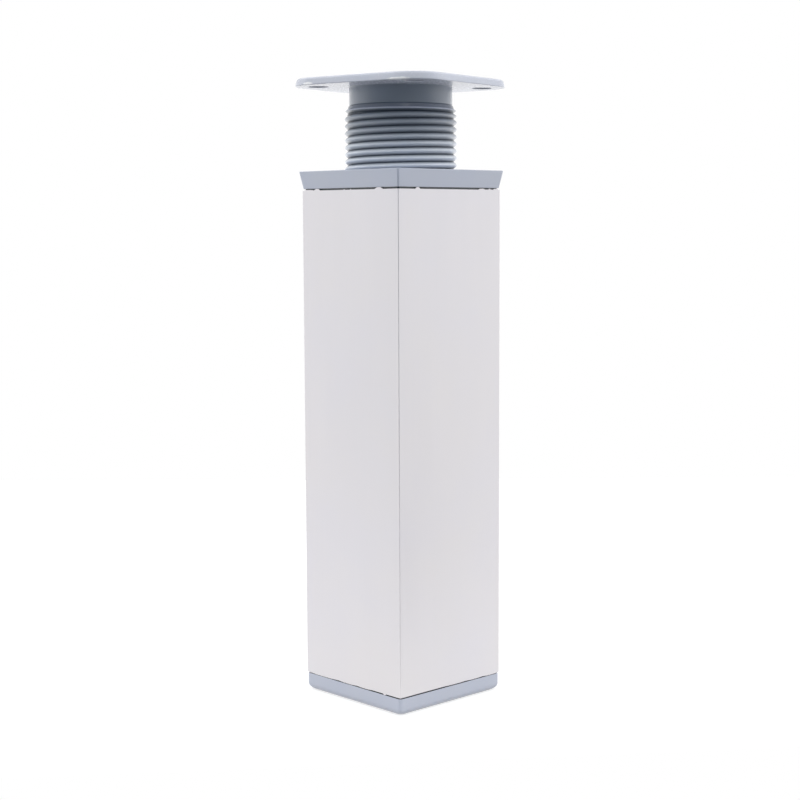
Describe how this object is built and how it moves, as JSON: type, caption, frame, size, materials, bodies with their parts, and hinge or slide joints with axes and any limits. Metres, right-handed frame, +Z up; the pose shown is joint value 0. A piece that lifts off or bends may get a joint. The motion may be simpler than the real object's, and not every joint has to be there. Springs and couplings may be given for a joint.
{
  "type": "adjustable cabinet leg",
  "caption": "Square tube cabinet leg with a moulded foot, and a square plate on a threaded stem that screws in a collar to set the height.",
  "frame": {"origin": "middle of the foot's underside, on the axis of the tube and the thread", "axes": "+Z up along the leg towards the plate; X and Y square to the tube's faces"},
  "size_m": [0.053, 0.053, 0.1774],
  "materials": {
    "tube_finish": "satin anodised, natural silver",
    "moulded_grey": "grey moulded plastic with a soft sheen",
    "ring_grey": "grey moulded plastic"
  },
  "bodies": {
    "leg": {"tube": "tube_finish", "foot_cap": "moulded_grey", "collar": "moulded_grey"},
    "ring": {"stop_ring": "ring_grey"},
    "adjuster": {"plate_stem": "moulded_grey"}
  },
  "joints": [
    {"name": "lift", "type": "slide", "parent": "leg", "child": "ring", "axis": [0, 0, 1], "range_m": [-0.01545, 0.00095]},
    {"name": "turn", "type": "hinge", "parent": "ring", "child": "adjuster", "pos_m": [0, 0, 0.15], "axis": [0, 0, 1], "range_deg": [-2772, 162]}
  ],
  "couplings": [
    {"joint": "lift", "follows": "turn", "m_per_rad": 0.00031831}
  ]
}
